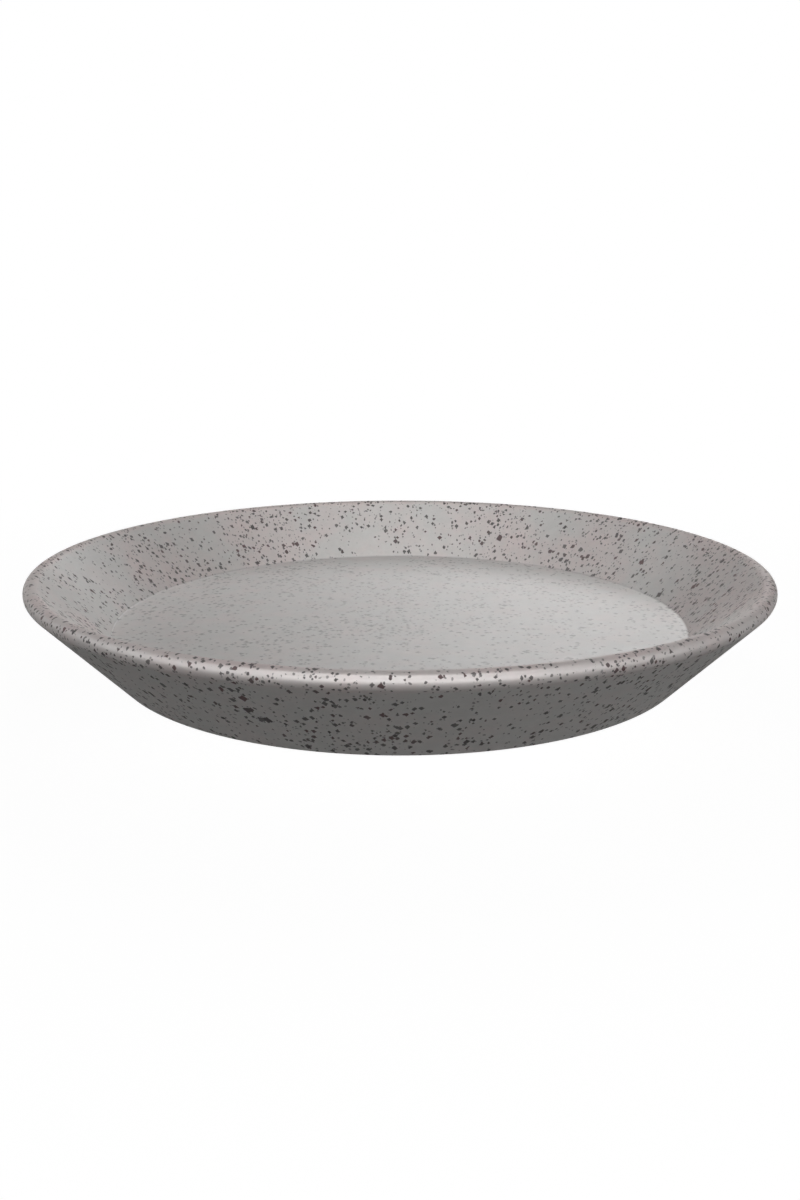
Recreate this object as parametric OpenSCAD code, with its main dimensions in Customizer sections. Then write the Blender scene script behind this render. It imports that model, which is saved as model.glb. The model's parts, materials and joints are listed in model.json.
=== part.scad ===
// Side plate: a turned stoneware plate with a flat well, a straight flared wall, a rounded lip
// and a low foot ring. The clay body carries a fired glaze on its upper and outer face, and a
// second patch of glaze in the recess inside the foot ring. The ring itself is bare clay.
// The origin is the centre of the plate on the table, and +Z points up.

/* [Rim] */
// Diameter over the lip
plate_d = 200; // [190:1:260]
// Height from the table to the top of the lip
plate_h = 26.2; // [22:0.1:36]
// Thickness of the lip, which is a full round
lip_t = 4.3; // [3:0.1:6]

/* [Well] */
// Diameter of the flat floor, where the line of the inner wall reaches it
well_d = 158; // [130:1:160]
// Height of the floor above the table
floor_h = 9.5; // [8:0.1:12]
// Radius of the corner between the floor and the inner wall
well_fillet = 0.8; // [0.3:0.1:6]

/* [Wall] */
// Thickness of the wall at the edge of the floor, from which it tapers to the lip
wall_t = 5.8; // [5:0.1:9]

/* [Foot] */
// Width of the foot ring at the table, between the lines of its two sides
foot_w = 6; // [5:0.1:12]
// Rounding on both edges of the foot ring
foot_round = 1; // [0.5:0.1:1.2]
// Depth of the recess inside the foot ring
recess_h = 3.2; // [2.5:0.1:4.5]
// Slope of the foot ring's inner side, from level
recess_slope = 55; // [40:1:65]
// Radius of the corner between the recess and the foot ring
recess_fillet = 1.5; // [0.5:0.1:1.5]

/* [Glaze] */
// Thickness of the fired glaze
glaze_t = 0.4; // [0.2:0.05:0.7]
// Height of bare clay between each rounded edge of the foot ring and the lowest of the glaze
bare_h = 0.1; // [0.05:0.05:0.4]

/* [Hidden] */

clay_colour = [0.80, 0.73, 0.64];
glaze_colour = [0.71, 0.69, 0.68];

// Largest turn between two points of a rounded corner, and chords in a full turn of the wheel
arc_step = 7.5;
wheel_fn = 240;

// The lip's circle, in the plane of the profile: x is the radius and y is the height
lip_r = lip_t / 2;
lip_centre = [plate_d / 2 - lip_r, plate_h - lip_r];
well_corner = [well_d / 2, floor_h];

// The inner wall's line runs from the floor's edge and touches the lip's circle. The outer wall's
// line touches the lip's circle from below, and keeps the wall's thickness from the floor's edge.
lip_reach = lip_centre - well_corner;
lip_rise = atan2(lip_reach.y, lip_reach.x);
inner_slope = lip_rise + asin(lip_r / norm(lip_reach));
outer_slope = lip_rise + asin((wall_t - lip_r) / norm(lip_reach));

// Where the lines of the foot ring's two sides reach the table
wall_foot = well_corner + wall_t * unit(outer_slope - 90);
foot_corner = [wall_foot.x - wall_foot.y / tan(outer_slope), 0];
ring_corner = foot_corner - [foot_w, 0];

// Centres of the rounded corners, which stay put at every depth under the glaze
well_centre = well_corner + well_fillet * [-tan(inner_slope / 2), 1];
recess_corner = [ring_corner.x - recess_h / tan(recess_slope), recess_h];
recess_centre = recess_corner - recess_fillet * [tan(recess_slope / 2), 1];

// Where the lines of the bare clay's two sides reach the table
clay_foot = foot_corner - [glaze_t / sin(outer_slope), 0];
clay_ring = ring_corner + [glaze_t / sin(recess_slope), 0];

// How far each rounded edge of the foot ring reaches from its corner
foot_reach = foot_round * tan(outer_slope / 2);
ring_reach = foot_round * tan(recess_slope / 2);

// Where the glaze stops on the clay, outside and inside the foot ring
outer_stop = clay_foot + stop_h(outer_slope) * [1 / tan(outer_slope), 1];
inner_stop = clay_ring + stop_h(recess_slope) * [-1 / tan(recess_slope), 1];

// Height of that stop on a side of the foot ring: the glaze's rounded edge hangs a little below it
function stop_h(slope) = foot_round * (1 - cos(slope)) + bare_h + glaze_t * (1 - sin(slope));

// Unit vector at an angle
function unit(angle) = [cos(angle), sin(angle)];

// Points of an arc, both ends included
function arc(centre, radius, start, end) =
    let (steps = ceil(abs(end - start) / arc_step))
    [for (i = [0 : steps]) centre + radius * unit(start + (end - start) * i / steps)];

function backwards(points) = [for (i = [len(points) - 1 : -1 : 0]) points[i]];

// Upper and outer face at a depth under the glaze: round the lip, down the inner wall, over the floor
function upper_face(depth) = concat(
    arc(lip_centre, lip_r - depth, outer_slope - 90, inner_slope + 90),
    arc(well_centre, well_fillet + depth, inner_slope - 90, -90),
    [[0, floor_h - depth]]
);

// Face of the recess at a depth under the glaze, from the foot ring to the middle of the plate
function recess_face(depth) = concat(
    arc(recess_centre, recess_fillet + depth, 90 - recess_slope, 90),
    [[0, recess_h + depth]]
);

// Rounded edge in which the glaze runs out on the clay: from the clay to the glaze's own face
function outer_edge() =
    arc(outer_stop + glaze_t * unit(outer_slope), glaze_t, outer_slope - 180, outer_slope - 90);

function inner_edge() =
    arc(inner_stop + glaze_t * unit(180 - recess_slope), glaze_t, 360 - recess_slope, 270 - recess_slope);

// Rounded edges of the foot ring, in bare clay
function foot_edge() = arc(clay_foot + [-foot_reach, foot_round], foot_round, -90, outer_slope - 90);

function ring_edge() = arc(clay_ring + [ring_reach, foot_round], foot_round, 270 - recess_slope, 270);

// Turns a profile on the wheel
module turned(points) {
    rotate_extrude($fn = wheel_fn) polygon(points);
}

// Fired clay: base, wall and foot ring in one turned piece
module stoneware_body() {
    color(clay_colour)
        turned(concat(
            foot_edge(),
            [outer_stop],
            upper_face(glaze_t),
            backwards(recess_face(glaze_t)),
            [inner_stop],
            ring_edge()
        ));
}

// Glaze on the outer wall, the lip, the inner wall and the floor
module glaze_coat() {
    color(glaze_colour)
        turned(concat(outer_edge(), upper_face(0), backwards(upper_face(glaze_t))));
}

// Glaze in the recess inside the foot ring
module underside_glaze() {
    color(glaze_colour)
        turned(concat(inner_edge(), recess_face(0), backwards(recess_face(glaze_t))));
}

stoneware_body();
glaze_coat();
underside_glaze();
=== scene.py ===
"""Speckled stoneware side plate: a turned clay body under a satin glaze, on a pale studio table."""

import json
import math

import bpy
import numpy as np
from bpy.props import FloatProperty, FloatVectorProperty, IntProperty, PointerProperty
from bpy.types import Operator, Panel, PropertyGroup
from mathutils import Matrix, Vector


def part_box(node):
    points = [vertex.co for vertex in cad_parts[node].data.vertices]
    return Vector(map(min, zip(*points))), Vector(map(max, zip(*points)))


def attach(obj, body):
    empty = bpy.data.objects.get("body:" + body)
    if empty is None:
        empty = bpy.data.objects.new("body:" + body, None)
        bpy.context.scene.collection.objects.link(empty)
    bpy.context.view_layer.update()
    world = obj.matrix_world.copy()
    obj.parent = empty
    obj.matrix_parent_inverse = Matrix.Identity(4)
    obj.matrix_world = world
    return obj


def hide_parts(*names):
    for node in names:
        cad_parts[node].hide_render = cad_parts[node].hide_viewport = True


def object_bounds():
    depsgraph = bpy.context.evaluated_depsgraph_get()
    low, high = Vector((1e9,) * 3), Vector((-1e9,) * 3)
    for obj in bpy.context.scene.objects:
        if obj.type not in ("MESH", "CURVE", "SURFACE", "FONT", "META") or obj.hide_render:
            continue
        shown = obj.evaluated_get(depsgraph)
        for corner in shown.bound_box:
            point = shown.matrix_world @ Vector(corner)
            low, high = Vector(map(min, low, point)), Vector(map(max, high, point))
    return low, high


bl_info = {
    "name": "Speckled Side Plate",
    "version": (1, 0, 0),
    "blender": (4, 5, 0),
    "location": "View3D > Sidebar > Plate",
    "description": "Turns a glazed stoneware side plate and sets it on a studio table",
    "category": "Object",
}

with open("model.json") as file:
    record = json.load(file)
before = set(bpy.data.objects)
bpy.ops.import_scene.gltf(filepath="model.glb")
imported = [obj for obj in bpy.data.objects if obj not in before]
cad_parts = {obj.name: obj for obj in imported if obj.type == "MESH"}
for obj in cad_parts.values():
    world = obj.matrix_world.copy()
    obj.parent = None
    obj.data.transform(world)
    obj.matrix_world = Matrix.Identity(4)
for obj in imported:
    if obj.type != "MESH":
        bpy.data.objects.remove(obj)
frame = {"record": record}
CAD_LOW, CAD_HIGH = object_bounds()
CLAY_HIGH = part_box("stoneware_body")[1]
RECESS_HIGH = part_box("underside_glaze")[1]
WELL_FLOOR = next(m for m in frame["record"]["mounts"] if m["name"] == "well_floor")["pos_m"][2]

MM = 0.001
BODY = "root"
GLAZE_THICKNESS = CAD_HIGH.x - CLAY_HIGH.x


def length(name, description, default):
    """A size in metres that a user may change."""
    return FloatProperty(name=name, description=description, default=default, min=0.0,
                         precision=5, subtype="DISTANCE", unit="LENGTH")


def angle(name, description, degrees):
    """An angle that a user may change."""
    return FloatProperty(name=name, description=description, default=math.radians(degrees),
                         subtype="ANGLE", unit="ROTATION")


def colour(name, description, default):
    """A linear colour that a user may change."""
    return FloatVectorProperty(name=name, description=description, default=default, size=3,
                               min=0.0, max=1.0, subtype="COLOR")


def share(name, description, default):
    """A number between 0 and 1 that a user may change."""
    return FloatProperty(name=name, description=description, default=default,
                         min=0.0, max=1.0, subtype="FACTOR")


def watts(name, description, default):
    """The power of a lamp."""
    return FloatProperty(name=name, description=description, default=default, min=0.0,
                         subtype="POWER", unit="POWER")


def strength(name, description, default):
    """How bright a part of the room is, where 1 is white."""
    return FloatProperty(name=name, description=description, default=default, min=0.0)


class PlateSizes(PropertyGroup):
    """Sizes of the plate's profile, equal to the CAD's. Those that the frame gives are read from it."""

    plate_radius: length("Plate radius", "From the axis to the outside of the lip", CAD_HIGH.x)
    plate_height: length("Plate height", "From the table to the top of the lip", CAD_HIGH.z)
    lip_radius: length("Lip radius", "Radius of the full round on the lip", 2.15 * MM)
    well_radius: length("Well radius", "Where the inner wall's line meets the floor", 79 * MM)
    well_height: length("Floor height", "Height of the well's floor above the table", WELL_FLOOR)
    well_fillet: length("Well fillet", "Corner between the floor and the inner wall", 0.8 * MM)
    wall_thickness: length("Wall thickness", "Wall at the edge of the floor", 5.8 * MM)
    foot_width: length("Foot width", "Foot ring between the lines of its two sides", 6 * MM)
    foot_round: length("Foot round", "Rounding on the edges of the foot ring", 1 * MM)
    recess_depth: length("Recess depth", "Recess inside the foot ring", RECESS_HIGH.z - GLAZE_THICKNESS)
    recess_slope: angle("Recess slope", "Inner side of the foot ring, from level", 55)
    recess_fillet: length("Recess fillet", "Corner between the recess and the ring", 1.5 * MM)
    glaze_thickness: length("Glaze thickness", "Thickness of the fired glaze", GLAZE_THICKNESS)
    bare_height: length("Bare height", "Bare clay under the lowest of the glaze", 0.1 * MM)
    wheel_steps: IntProperty(name="Wheel steps", description="Steps in one turn of the wheel",
                             default=288, min=48)


class GlazeLooks(PropertyGroup):
    """Colours and grain of the glaze and of the bare clay."""

    cool: colour("Cool grey", "Neutral patches of the glaze", (0.567, 0.557, 0.543))
    warm: colour("Warm grey", "Pinkish patches of the glaze", (0.624, 0.545, 0.534))
    iron: colour("Iron", "Dark heart of the specks", (0.026, 0.022, 0.022))
    # Colour of the lip's crest: partly thin glaze over the clay, partly painted shade that dulls the top
    # of the lip
    thin_glaze_and_shade: colour("Thin glaze", "Glaze that lets the clay through on the lip", (0.30, 0.265, 0.255))
    rust: colour("Rust", "Redder specks", (0.078, 0.046, 0.047))
    roughness: share("Roughness", "Roughness of the satin glaze", 0.45)
    buried: share("Buried", "How much the thicker glaze on the floor hides the specks", 0.40)
    clay: colour("Clay", "Bare fired clay", (0.50, 0.41, 0.32))
    clay_dark: colour("Dark clay", "Grit and turning lines in the clay", (0.33, 0.26, 0.20))


class StudioLooks(PropertyGroup):
    """The camera, the lamps, the lights that gleam in the glaze, and the table."""

    camera_distance: length("Camera distance", "From the camera to the aimed point", 305.04 * MM)
    camera_height: angle("Camera height", "Angle of the view below level", 14.784)
    aim_height: length("Aim height", "Height of the aimed point on the plate's axis", 14.36 * MM)
    lens: FloatProperty(name="Lens", description="Focal length on a 36 mm frame", default=32.483,
                        subtype="DISTANCE_CAMERA", unit="CAMERA")
    front_lamp: watts("Front lamp", "Low behind the camera", 1.2)
    front_right_lamp: watts("Front right lamp", "Low on the right of the camera", 1.75)
    front_left_lamp: watts("Front left lamp", "Low on the left of the camera", 1.1)
    back_lamp: watts("Back lamp", "Low behind the plate", 2.7)
    front_glow: strength("Front glow", "What gleams on the near lip", 4.1)
    front_right_glow: strength("Front right glow", "What gleams on the right of the near lip", 1.8)
    front_left_glow: strength("Front left glow", "What gleams on the left of the near lip", 2.1)
    right_glow: strength("Right glow", "What gleams on the left wall", 0.6)
    left_glow: strength("Left glow", "What gleams on the right wall", 1.3)
    top_glow: strength("Top glow", "What gleams on the far wall", 9.0)
    back_glow: strength("Back glow", "What gleams on the right half of the floor", 6.3)
    back_left_glow: strength("Back left glow", "What gleams on the far right wall", 4.5)
    back_right_glow: strength("Back right glow", "What gleams on the far left wall", 2.0)
    pool: strength("Pool", "Pool of light on the table that gleams low on the near lip", 1.3)
    table: share("Table", "How much light the table throws back at the plate", 0.15)
    shadow: share("Shadow", "How much of the plate's shadow shows on the white table", 0.18)
    paper: share("Paper", "Tone of the lit table away from the shadow", 0.27)


# The plate's profile, in the plane of the wheel: x is the radius and y is the height


def unit(turn):
    """Unit vector at an angle."""
    return Vector((math.cos(turn), math.sin(turn)))


def arc(centre, radius, start, end, largest_turn=math.radians(6)):
    """Points of an arc, both ends included."""
    steps = max(1, math.ceil(abs(end - start) / largest_turn))
    return [centre + radius * unit(start + (end - start) * i / steps) for i in range(steps + 1)]


def stretch(start, end, pitch=4 * MM, guard=0.4 * MM):
    """Points between the ends of a straight stretch, with one close to each end to keep it straight."""
    reach = (end - start).length
    steps = max(1, math.ceil(reach / pitch))
    places = [guard, *(reach * i / steps for i in range(1, steps)), reach - guard]
    kept = [place for place in sorted(places) if guard <= place <= reach - guard]
    return [start.lerp(end, place / reach) for place in kept]


class Profile:
    """Tangent lines and corner centres of the plate's section."""

    def __init__(self, sizes):
        s = self.sizes = sizes
        self.lip = Vector((s.plate_radius - s.lip_radius, s.plate_height - s.lip_radius))
        corner = Vector((s.well_radius, s.well_height))
        reach = self.lip - corner
        rise = math.atan2(reach.y, reach.x)
        self.inner = rise + math.asin(s.lip_radius / reach.length)
        self.outer = rise + math.asin((s.wall_thickness - s.lip_radius) / reach.length)
        self.well = corner + s.well_fillet * Vector((-math.tan(self.inner / 2), 1))
        wall_foot = corner + s.wall_thickness * unit(self.outer - math.pi / 2)
        foot = wall_foot.x - wall_foot.y / math.tan(self.outer)
        ring = foot - s.foot_width
        slope = s.recess_slope
        recess = Vector((ring - s.recess_depth / math.tan(slope), s.recess_depth))
        self.recess = recess - s.recess_fillet * Vector((math.tan(slope / 2), 1))
        self.clay_foot = Vector((foot - s.glaze_thickness / math.sin(self.outer), 0))
        self.clay_ring = Vector((ring + s.glaze_thickness / math.sin(slope), 0))
        self.outer_stop = self.clay_foot + self.stop(self.outer) * Vector((1 / math.tan(self.outer), 1))
        self.inner_stop = self.clay_ring + self.stop(slope) * Vector((-1 / math.tan(slope), 1))

    def stop(self, slope):
        """Height at which the glaze stops on a side of the foot ring."""
        s = self.sizes
        hang = s.glaze_thickness * (1 - math.sin(slope))
        return s.foot_round * (1 - math.cos(slope)) + s.bare_height + hang

    def upper_face(self, depth):
        """From the middle of the floor over the inner wall and the lip, at a depth under the glaze."""
        s = self.sizes
        quarter = math.pi / 2
        middle = Vector((0, s.well_height - depth))
        corner = arc(self.well, s.well_fillet + depth, -quarter, self.inner - quarter)
        lip = arc(self.lip, s.lip_radius - depth, self.inner + quarter, self.outer - quarter)
        floor = stretch(middle, corner[0], pitch=8 * MM)
        return [middle, *floor, *corner, *stretch(corner[-1], lip[0]), *lip]

    def recess_face(self, depth):
        """From the middle of the recess to the foot ring's inner side, at a depth under the glaze."""
        s = self.sizes
        quarter = math.pi / 2
        middle = Vector((0, s.recess_depth + depth))
        corner = arc(self.recess, s.recess_fillet + depth, quarter, quarter - s.recess_slope)
        return [middle, *stretch(middle, corner[0], pitch=8 * MM), *corner]

    def outer_edge(self):
        """Rounded edge of the coat, from the glaze's face to the clay."""
        t = self.sizes.glaze_thickness
        centre = self.outer_stop + t * unit(self.outer)
        return arc(centre, t, self.outer - math.pi / 2, self.outer - math.pi, math.radians(15))

    def inner_edge(self):
        """Rounded edge of the glaze in the recess, from the glaze's face to the clay."""
        t = self.sizes.glaze_thickness
        slope = self.sizes.recess_slope
        centre = self.inner_stop + t * unit(math.pi - slope)
        return arc(centre, t, 1.5 * math.pi - slope, 2 * math.pi - slope, math.radians(15))

    def foot_ring(self):
        """Bare clay, from the glaze in the recess round the foot ring to the coat outside."""
        s = self.sizes
        slope = s.recess_slope
        down = 1.5 * math.pi
        ring_centre = self.clay_ring + s.foot_round * Vector((math.tan(slope / 2), 1))
        foot_centre = self.clay_foot + s.foot_round * Vector((-math.tan(self.outer / 2), 1))
        ring = arc(ring_centre, s.foot_round, down - slope, down)
        foot = arc(foot_centre, s.foot_round, down, down + self.outer)
        flat = stretch(ring[-1], foot[0], pitch=1 * MM)
        return [self.inner_stop, *ring, *flat, *foot, self.outer_stop]


# Turning a profile


def turned(name, outline, steps):
    """Draws an outline point by point, from the axis back to the axis, and turns it on the wheel."""
    bpy.ops.object.select_all(action="DESELECT")
    start = outline[0]
    bpy.ops.mesh.primitive_plane_add(size=MM, location=(start.x, 0, start.y))
    bpy.ops.object.transform_apply(location=True)
    piece = bpy.context.object
    piece.name = piece.data.name = name
    bpy.ops.object.mode_set(mode="EDIT")
    bpy.ops.mesh.select_mode(type="VERT")
    bpy.ops.mesh.select_all(action="SELECT")
    bpy.ops.mesh.merge(type="CENTER")
    for here, there in zip(outline, outline[1:]):
        step = (there.x - here.x, 0, there.y - here.y)
        bpy.ops.mesh.extrude_vertices_move(TRANSFORM_OT_translate={"value": step})
    bpy.ops.mesh.select_all(action="SELECT")
    bpy.ops.mesh.spin(steps=steps, angle=2 * math.pi, center=(0, 0, 0), axis=(0, 0, 1))
    bpy.ops.mesh.select_all(action="SELECT")
    bpy.ops.mesh.remove_doubles(threshold=0.002 * MM)
    bpy.ops.mesh.normals_make_consistent(inside=False)
    bpy.ops.object.mode_set(mode="OBJECT")
    bpy.ops.object.shade_smooth_by_angle(angle=math.radians(40))
    return piece


def unrolled(piece, outline, last, shown_disc=0.49, tucked_disc=0.055, tucked_at=0.07):
    """Lays a turned piece out flat without a seam, in a UV map for baking.

    The shown face, up to the last of its points, is a large disc in the middle of the map. The face
    on the clay is a small disc in a corner."""
    mesh = piece.data
    places = np.empty(3 * len(mesh.vertices))
    mesh.vertices.foreach_get("co", places)
    x, y, z = places.reshape(-1, 3).T
    points = np.array([tuple(point) for point in outline])
    gaps = np.hypot(np.hypot(x, y)[:, None] - points[:, 0], z[:, None] - points[:, 1])
    point = gaps.argmin(axis=1)
    along = np.append(0.0, np.hypot(*np.diff(points, axis=0).T).cumsum())

    vertex = np.empty(len(mesh.loops), dtype=np.int32)
    mesh.loops.foreach_get("vertex_index", vertex)
    starts = np.empty(len(mesh.polygons), dtype=np.int32)
    mesh.polygons.foreach_get("loop_start", starts)
    sides = np.diff(np.append(starts, len(vertex)))
    hidden = np.repeat(np.maximum.reduceat(point[vertex], starts) > last, sides)

    reach = along[point[vertex]]
    shown = shown_disc * reach / along[last]
    tucked = tucked_disc * (along[-1] - reach) / (along[-1] - along[last])
    out = np.where(hidden, tucked, shown)[:, None]
    middle = np.where(hidden, tucked_at, 0.5)[:, None]
    turn = np.arctan2(y, x)[vertex]
    spots = middle + out * np.stack([np.cos(turn), np.sin(turn)], axis=1)
    mesh.uv_layers.new(name="OFBake").data.foreach_set("uv", spots.ravel())


def glaze_skin(name, face, edge, under, steps):
    """Turns a skin of glaze: out along its face, round its edge and back along the clay under it."""
    outline = [*face, *stretch(face[-1], edge[0]), *edge, *reversed(under)]
    piece = turned(name, outline, steps)
    unrolled(piece, outline, len(outline) - len(under) - 1)
    return piece


def finished(piece, node, material):
    """Gives a piece its material and puts it in the place of its node."""
    piece.data.materials.clear()
    piece.data.materials.append(material)
    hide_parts(node)
    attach(piece, BODY)


# Materials

# Which part of the noise places the crowds of specks, in millimetres
CROWDS_AT = (0.0, 212.0, 0.0)


class Value:
    """A socket that can stand in a Python expression: each operator adds its Math node."""

    def __init__(self, recipe, socket):
        self.recipe = recipe
        self.socket = socket

    def __add__(self, other):
        return self.recipe.maths("ADD", self, other)

    def __sub__(self, other):
        return self.recipe.maths("SUBTRACT", self, other)

    def __rsub__(self, other):
        return self.recipe.maths("SUBTRACT", other, self)

    def __mul__(self, other):
        return self.recipe.maths("MULTIPLY", self, other)

    def __truediv__(self, other):
        return self.recipe.maths("DIVIDE", self, other)

    def __pow__(self, other):
        return self.recipe.maths("POWER", self, other)

    def __lt__(self, other):
        return self.recipe.maths("LESS_THAN", self, other)

    __radd__ = __add__
    __rmul__ = __mul__

    def clamped(self):
        """The value held between 0 and 1."""
        return self.recipe.maths("ADD", self, 0.0, use_clamp=True)


class Recipe:
    """A material or world and its nodes. add() makes any node, and maths() a Math node."""

    def __init__(self, owner):
        owner.use_nodes = True
        self.tree = owner.node_tree
        self.tree.nodes.clear()

    def add(self, kind, inputs=None, output=0, **settings):
        """Makes a node, sets it, links or fills its sockets, and returns one of its outputs."""
        node = self.tree.nodes.new("ShaderNode" + kind)
        for key, setting in settings.items():
            setattr(node, key, setting)
        for key, given in (inputs or {}).items():
            socket = self.find(node.inputs, key)
            if isinstance(given, Value):
                self.tree.links.new(given.socket, socket)
            else:
                socket.default_value = given
        return Value(self, self.find(node.outputs, output))

    def finish(self, surface, kind="OutputMaterial"):
        """Links a shader to the material's or the world's output."""
        node = self.tree.nodes.new("ShaderNode" + kind)
        self.tree.links.new(surface.socket, node.inputs["Surface"])

    @staticmethod
    def find(sockets, key):
        """A socket by its number, identifier or name."""
        if isinstance(key, int):
            return sockets[key]
        return next(s for s in sockets if key in (s.identifier, s.name))

    def also(self, value, output):
        """Another output of the node that a value comes from."""
        return Value(self, self.find(value.socket.node.outputs, output))

    def maths(self, operation, first, second, use_clamp=False):
        """A Math node on two numbers."""
        return self.add("Math", {0: first, 1: second}, operation=operation, use_clamp=use_clamp)

    def vectors(self, operation, first, second):
        """A Vector Math node on two vectors or colours."""
        return self.add("VectorMath", {0: first, 1: second}, operation=operation)

    def scaled(self, vector, factor):
        """A vector made longer or shorter."""
        return self.add("VectorMath", {0: vector, "Scale": factor}, operation="SCALE")

    def mixed(self, factor, first, second):
        """A colour between two others."""
        pair = {"Factor_Float": factor, "A_Color": first, "B_Color": second}
        return self.add("Mix", pair, "Result_Color", data_type="RGBA")

    def eased(self, value, low, high):
        """0 below low, 1 above high, with a soft step between."""
        spread = {"Value": value, "From Min": low, "From Max": high}
        return self.add("MapRange", spread, interpolation_type="SMOOTHSTEP")

    def noise(self, place, size, detail=2.0, roughness=0.5, output="Fac"):
        """Noise whose lumps are about this many millimetres across."""
        inputs = {"Vector": place, "Scale": 1 / size, "Detail": detail, "Roughness": roughness}
        return self.add("TexNoise", inputs, output)

    def shaken(self, place, size, strength):
        """A place moved about by noise, to tear the edges of what is drawn there."""
        noise = self.noise(place, size, detail=1.0, output="Color")
        move = self.vectors("SUBTRACT", noise, (0.5, 0.5, 0.5))
        return self.vectors("ADD", place, self.scaled(move, strength))

    def place(self):
        """The point on the piece, in millimetres."""
        return self.scaled(self.add("TexCoord", output="Object"), 1 / MM)


def opaque(rgb):
    """A colour with full alpha, as a colour socket takes it."""
    return (*rgb, 1.0)


def specks(recipe, place, cell, low, high, keep, soft=0.08, distance="EUCLIDEAN"):
    """Blots scattered through the glaze, one in some of the cells, from low to high in radius.

    A power keeps most of them small. Returns how dark a place is, how close it is to a blot, within
    about 2 mm of its edge, and the lot that the blot drew."""
    inputs = {"Vector": place, "Scale": 1 / cell}
    cells = recipe.add("TexVoronoi", inputs, "Distance", distance=distance)
    lots = recipe.add("SeparateColor", {0: recipe.also(cells, "Color")}, "Red")
    inside = low + (high - low) * lots ** 1.6 - cells * cell
    chosen = recipe.also(lots, "Green") < keep
    dark = recipe.eased(inside, 0 - soft, soft * 0.75) * chosen
    near = recipe.eased(inside, -2.2, -0.3) * chosen
    return dark, near, recipe.also(lots, "Blue")


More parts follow.
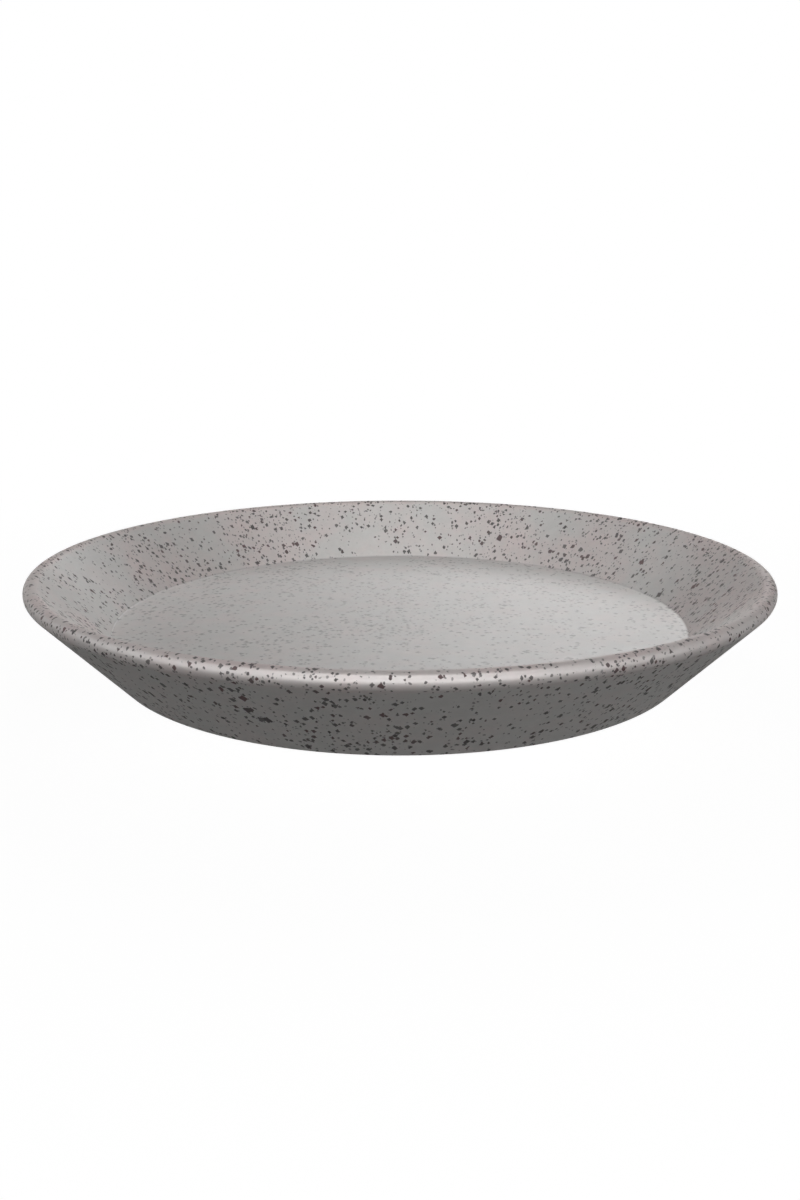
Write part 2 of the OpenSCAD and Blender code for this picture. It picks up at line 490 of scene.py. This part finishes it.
def speckled_glaze(name, looks, sizes):
    """Satin glaze: mottled grey, angular iron specks with smaller ones about them, a glassier lip.

    Lengths in it are in millimetres."""
    material = bpy.data.materials.new(name)
    recipe = Recipe(material)
    place = recipe.place()
    across = recipe.add("SeparateXYZ", {0: place}, "X")
    height = recipe.also(across, "Z")
    radius = (across ** 2 + recipe.also(across, "Y") ** 2) ** 0.5
    edge = sizes.well_radius / MM
    floor = sizes.well_height / MM
    top = sizes.plate_height / MM
    lip = (sizes.plate_height - 2 * sizes.lip_radius) / MM
    rim = (sizes.plate_radius - sizes.lip_radius) / MM
    slope = math.tan(Profile(sizes).inner)

    # Where a place is, each from 0 to 1
    above_base = recipe.eased(height, floor - 1.5, floor - 1.0)
    on_floor = recipe.eased(radius, edge + 0.3, edge - 0.6) * above_base
    on_ledge = above_base * recipe.eased(height, floor + 1.5, floor + 1.0)
    inside = recipe.eased(height - (radius - edge) * slope - floor, -3.0, -2.0)
    on_lip = recipe.eased(height, lip - 0.5, lip + 0.5) * recipe.eased(radius, rim - 2.3, rim - 1.3)
    crest = recipe.eased(height, top - 0.75, top - 0.1)
    glassy = recipe.eased(radius, rim + 1.2, rim + 1.85) * recipe.eased(height, lip - 0.9, lip + 0.6)

    # Specks: longer up the walls, wide and soft on the floor, small on the lip, and in crowds
    squash = recipe.add("CombineXYZ", {"Z": recipe.maths("MINIMUM", height, lip) * -0.8})
    torn = recipe.vectors("ADD", place, squash)
    torn = recipe.shaken(recipe.shaken(torn, 1.6, 0.75), 0.5, 0.35)
    rich = recipe.noise(recipe.vectors("ADD", place, CROWDS_AT), 20.0)
    crowding = rich * 3.2 + on_lip * 0.25 - on_floor * 0.28 - 0.62
    scarce = crowding * (inside * 0.20 + 0.40) * (1 - on_lip * 0.7)
    swell = on_floor * 0.16 - on_lip * 0.17
    blot = {"soft": on_floor * 0.26 + 0.08, "distance": "MANHATTAN"}
    large, near, large_lot = specks(recipe, torn, cell=3.9, low=swell + 0.58, high=1.32,
                                    keep=scarce, **blot)
    crowding = crowding + near * 0.7
    medium, _, medium_lot = specks(recipe, torn, cell=1.6, low=swell + 0.50, high=0.95,
                                   keep=crowding * 0.62, **blot)
    small, _, small_lot = specks(recipe, torn, cell=1.05, low=on_lip * 0.06 + 0.18, high=0.36,
                                 keep=crowding * 0.42 + on_lip * 0.25)
    blots = recipe.maths("MAXIMUM", large, medium * (0.85 + 0.15 * medium_lot))
    flecks = small * (0.45 + 0.4 * small_lot + 0.15 * on_lip) * (1 - 0.8 * on_floor)
    dark = recipe.maths("MAXIMUM", blots, flecks) * (1 - on_floor * looks.buried)

    # Ground: cool grey, warmer in patches, about crowds of specks and on the lip, with a fine grain
    patches = recipe.eased(recipe.noise(place, 9.0, detail=4.0, roughness=0.6), 0.38, 0.70)
    stained = recipe.eased(rich, 0.42, 0.64) * inside * (1 - on_floor)
    warmth = (patches * 0.45 + on_lip * 0.4 + stained * 0.55).clamped()
    ground = recipe.mixed(warmth, opaque(looks.cool), opaque(looks.warm))
    grain = recipe.noise(place, 0.9, detail=3.0, roughness=0.65) * 0.16
    tone = grain + recipe.noise(place, 3.5) * 0.14 + 0.85
    ground = recipe.vectors("MULTIPLY", ground, recipe.add("CombineXYZ", {0: tone, 1: tone, 2: tone}))

    # Iron over the ground, painted shade as a dark line in the floor's corner, and glaze that thins on the
    # crest, darkened there partly with painted shade
    redder = recipe.maths("MAXIMUM", large * recipe.eased(large_lot, 0.5, 1.0),
                          medium * recipe.eased(medium_lot, 0.5, 1.0))
    iron = recipe.mixed(redder, opaque(looks.iron), opaque(looks.rust))
    base = recipe.mixed(dark, ground, iron)
    # Painted shade: a thin iron-dark line where the floor meets the inner wall, standing in for the shade
    # in that crease
    crease_shade_and_light_pool = (1 - recipe.eased(recipe.maths("ABSOLUTE", radius - edge, 0.0), 0.05, 0.55)) * on_ledge
    base = recipe.mixed(crease_shade_and_light_pool * 0.25, base, opaque(looks.iron))
    # Partly thin glaze, partly painted shade: the top of the lip is pulled towards a darker colour
    base = recipe.mixed(crest * (1 - dark) * 0.1, base, opaque(looks.thin_glaze_and_shade))

    # Finish: satin, duller on the specks and the crest, with a faint peel
    shine = recipe.noise(place, 6.0, detail=2.0) * 0.10 + (looks.roughness - 0.05)
    shine = (shine + dark * (1 - on_floor) * 0.34 + crest * 0.2).clamped()
    peel = recipe.noise(place, 2.2, detail=1.0) * 0.6 + dark * 0.25
    bump = recipe.add("Bump", {"Height": peel, "Strength": 0.35, "Distance": 0.05 * MM})
    surface = {"Base Color": base, "Roughness": shine, "Normal": bump, "Specular IOR Level": 0.5,
               "Coat Weight": glassy * (1 - dark), "Coat Roughness": 0.40, "Coat IOR": 1.8}
    recipe.finish(recipe.add("BsdfPrincipled", surface))
    return material


def bare_clay(name, looks):
    """Bare fired clay: sandy grain, fine turning lines and a few dark grits."""
    material = bpy.data.materials.new(name)
    recipe = Recipe(material)
    place = recipe.place()
    sand = recipe.noise(place, 0.5, detail=4.0, roughness=0.7)
    patches = recipe.noise(place, 7.0, detail=2.0)
    across = recipe.add("SeparateXYZ", {0: place})
    radius = (across ** 2 + recipe.also(across, "Y") ** 2) ** 0.5
    lines = recipe.noise(recipe.add("CombineXYZ", {0: radius}), 0.35, detail=2.0)
    grit, _, _ = specks(recipe, place, cell=1.6, low=0.08, high=0.25, keep=patches * 0.5 + 0.25)
    tone = (sand * 0.6 + patches * 0.25 + lines * 0.25).clamped()
    ground = recipe.mixed(tone, opaque(looks.clay_dark), opaque(looks.clay))
    base = recipe.mixed(grit * 0.8, ground, opaque(looks.iron))
    height = sand * 0.7 + lines * 0.3
    bump = recipe.add("Bump", {"Height": height, "Strength": 0.5, "Distance": 0.08 * MM})
    skin = recipe.add("BsdfPrincipled", {"Base Color": base, "Roughness": 0.88, "Normal": bump})
    recipe.finish(skin)
    return material


# Operators


class PLATE_OT_body(Operator):
    """Turn the clay body, which shows on the foot ring"""

    bl_idname = "plate.body"
    bl_label = "Clay Body"

    def execute(self, context):
        sizes, looks = context.scene.plate_sizes, context.scene.plate_glaze
        profile = Profile(sizes)
        depth = sizes.glaze_thickness
        upper = profile.upper_face(depth)
        outline = [*profile.recess_face(depth), *profile.foot_ring(), *reversed(upper)]
        piece = turned("clay_body", outline, sizes.wheel_steps)
        finished(piece, "stoneware_body", bare_clay("bare_clay", looks))
        return {"FINISHED"}


class PLATE_OT_coat(Operator):
    """Lay the glaze over the floor, the walls and the lip"""

    bl_idname = "plate.coat"
    bl_label = "Glaze Coat"

    def execute(self, context):
        sizes, looks = context.scene.plate_sizes, context.scene.plate_glaze
        profile = Profile(sizes)
        under = profile.upper_face(sizes.glaze_thickness)
        piece = glaze_skin("speckled_coat", profile.upper_face(0), profile.outer_edge(), under,
                           sizes.wheel_steps)
        finished(piece, "glaze_coat", speckled_glaze("speckled_glaze", looks, sizes))
        return {"FINISHED"}


class PLATE_OT_underside(Operator):
    """Lay the patch of glaze in the recess inside the foot ring"""

    bl_idname = "plate.underside"
    bl_label = "Underside Glaze"

    def execute(self, context):
        sizes, looks = context.scene.plate_sizes, context.scene.plate_glaze
        profile = Profile(sizes)
        under = profile.recess_face(sizes.glaze_thickness)
        piece = glaze_skin("underside_patch", profile.recess_face(0), profile.inner_edge(), under,
                           sizes.wheel_steps)
        finished(piece, "underside_glaze", speckled_glaze("underside_glaze", looks, sizes))
        return {"FINISHED"}


# The studio


def rays(recipe):
    """What a ray is doing: seen by the camera or through glass, and seen in a gloss."""
    camera = recipe.add("LightPath", output="Is Camera Ray")
    through = recipe.also(camera, "Is Transmission Ray")
    return (camera + through).clamped(), recipe.also(camera, "Is Glossy Ray")


def white_table(studio, shaded=140.0, clear=320.0, pool_edge=105.0, pool_full=190.0):
    """A table that looks white, with a faint shadow near the plate.

    In a gloss it is lit paper with a pool of light in front, and to the plate it is dim. The shadow
    fades and the pool begins between these distances from the plate's axis, in millimetres."""
    material = bpy.data.materials.new("white_table")
    recipe = Recipe(material)
    direct, glossy = rays(recipe)
    reach = recipe.add("VectorMath", {0: recipe.place()}, "Value", operation="LENGTH")
    held = recipe.eased(reach, clear, shaded) * studio.shadow
    paper = recipe.add("BsdfDiffuse", {"Color": opaque([0.9] * 3)})
    whiter = (1 - held * studio.paper) / (1 - held)
    glow = recipe.add("Emission", {"Color": opaque([1] * 3), "Strength": whiter})
    shown = recipe.add("MixShader", {0: held, 1: glow, 2: paper})
    dim = recipe.add("BsdfDiffuse", {"Color": opaque([studio.table] * 3)})
    ahead = recipe.add("SeparateXYZ", {0: recipe.place()}, "Y")
    crease_shade_and_light_pool = recipe.eased(ahead, -pool_edge, -pool_full) * studio.pool
    pool = recipe.add("Emission", {"Strength": crease_shade_and_light_pool})
    mirrored = recipe.add("AddShader", {0: paper, 1: pool})
    lit = recipe.add("MixShader", {0: glossy, 1: dim, 2: mirrored})
    recipe.finish(recipe.add("MixShader", {0: direct, 1: lit, 2: shown}))
    return material


def toward(turn, rise):
    """Direction from the plate, in degrees: turned to the right from the camera, and raised from level."""
    turn, rise = math.radians(turn), math.radians(rise)
    return Vector((math.sin(turn) * math.cos(rise), -math.cos(turn) * math.cos(rise), math.sin(rise)))


def white_room(studio):
    """A surround that is white to the eye and shows in the glaze as soft lights in a dark room."""
    world = bpy.data.worlds.new("white_room")
    recipe = Recipe(world)
    direct, glossy = rays(recipe)
    way = recipe.add("TexCoord", output="Generated")

    def facing(turn, rise):
        """How far a ray's way agrees with a direction, from -1 to 1."""
        return recipe.add("VectorMath", {0: way, 1: toward(turn, rise)}, "Value", operation="DOT_PRODUCT")

    def light(turn, rise, reach=55):
        """A soft round light, brightest in its middle and out at its reach."""
        return recipe.eased(facing(turn, rise), math.cos(math.radians(reach)), 1.0)

    front = light(0, 10, 50) * studio.front_glow
    front = front + light(45, 12) * studio.front_right_glow + light(315, 12) * studio.front_left_glow
    sides = light(90, 12) * studio.right_glow + light(270, 40) * studio.left_glow
    back = light(224, 45, 24) * studio.back_left_glow + light(135, 52, 28) * studio.back_right_glow

    # A panel behind the plate, a little right of its middle, that fades slowly to the left.
    # Its edges are parts of a ray's way, which is one unit long.
    right = facing(90, 0)
    up = facing(0, 90)
    panel = recipe.eased(right, -0.27, 0.20) * recipe.eased(right, 0.44, 0.24)
    panel = panel * recipe.eased(up, 0.22, 0.40) * recipe.eased(up, 0.85, 0.55)
    panel = panel * recipe.eased(facing(180, 0), 0.0, 0.7)
    back = back + panel * studio.back_glow

    shown = front + sides + back + light(0, 86, 40) * studio.top_glow
    surround = {"Color": opaque([1] * 3), "Strength": direct + glossy * shown}
    recipe.finish(recipe.add("Background", surround), "OutputWorld")
    return world


# Where each lamp stands, in degrees to the right of the camera
LAMP_TURNS = {"front_lamp": 0, "front_right_lamp": 45, "front_left_lamp": 315, "back_lamp": 180}


def lamp(name, power, turn, rise=20, away=0.9, size=0.5):
    """A square lamp that points at the plate and shows in no gloss, since the room has the gleams."""
    way = toward(turn, rise)
    bpy.ops.object.light_add(type="AREA", location=away * way)
    light = bpy.context.object
    light.name = light.data.name = name
    light.data.shape = "SQUARE"
    light.data.size = size
    light.data.energy = power
    light.visible_glossy = False
    light.rotation_euler = (-way).to_track_quat("-Z", "Y").to_euler()


class PLATE_OT_studio(Operator):
    """Set up the table, the lamps and the camera"""

    bl_idname = "plate.studio"
    bl_label = "Studio"

    def execute(self, context):
        studio = context.scene.plate_studio
        bpy.ops.object.select_all(action="DESELECT")
        # Just under the foot ring, so that the two flat faces don't coincide
        bpy.ops.mesh.primitive_plane_add(size=6.0, location=(0, 0, -0.02 * MM))
        table = bpy.context.object
        table.name = "table"
        table.data.materials.append(white_table(studio))
        context.scene.world = white_room(studio)
        context.scene.view_settings.view_transform = "Standard"

        for name, turn in LAMP_TURNS.items():
            lamp(name, getattr(studio, name), turn)

        away = studio.camera_distance
        drop = studio.camera_height
        place = (0, -away * math.cos(drop), studio.aim_height + away * math.sin(drop))
        bpy.ops.object.camera_add(location=place, rotation=(math.pi / 2 - drop, 0, 0))
        camera = bpy.context.object
        camera.name = "camera"
        camera.data.sensor_width = 36.0
        camera.data.lens = studio.lens
        camera.data.clip_start = 0.01
        context.scene.camera = camera
        return {"FINISHED"}


class PLATE_PT_sidebar(Panel):
    """Sizes, looks and steps of the plate"""

    bl_idname = "PLATE_PT_sidebar"
    bl_label = "Side Plate"
    bl_space_type = "VIEW_3D"
    bl_region_type = "UI"
    bl_category = "Plate"

    def draw(self, context):
        for group in (context.scene.plate_sizes, context.scene.plate_glaze, context.scene.plate_studio):
            box = self.layout.box()
            for name in group.__annotations__:
                box.prop(group, name)
        for step in STEPS:
            self.layout.operator(step.bl_idname)


STEPS = (PLATE_OT_body, PLATE_OT_coat, PLATE_OT_underside, PLATE_OT_studio)
CLASSES = (PlateSizes, GlazeLooks, StudioLooks, *STEPS, PLATE_PT_sidebar)


def register():
    """Adds the classes, and their values to the scene."""
    for cls in CLASSES:
        bpy.utils.register_class(cls)
    bpy.types.Scene.plate_sizes = PointerProperty(type=PlateSizes)
    bpy.types.Scene.plate_glaze = PointerProperty(type=GlazeLooks)
    bpy.types.Scene.plate_studio = PointerProperty(type=StudioLooks)


def unregister():
    """Takes the values and the classes away again."""
    del bpy.types.Scene.plate_studio
    del bpy.types.Scene.plate_glaze
    del bpy.types.Scene.plate_sizes
    for cls in reversed(CLASSES):
        bpy.utils.unregister_class(cls)


def main():
    """Builds the plate and its studio."""
    register()
    bpy.ops.plate.body()
    bpy.ops.plate.coat()
    bpy.ops.plate.underside()
    bpy.ops.plate.studio()


if __name__ == "__main__":
    main()
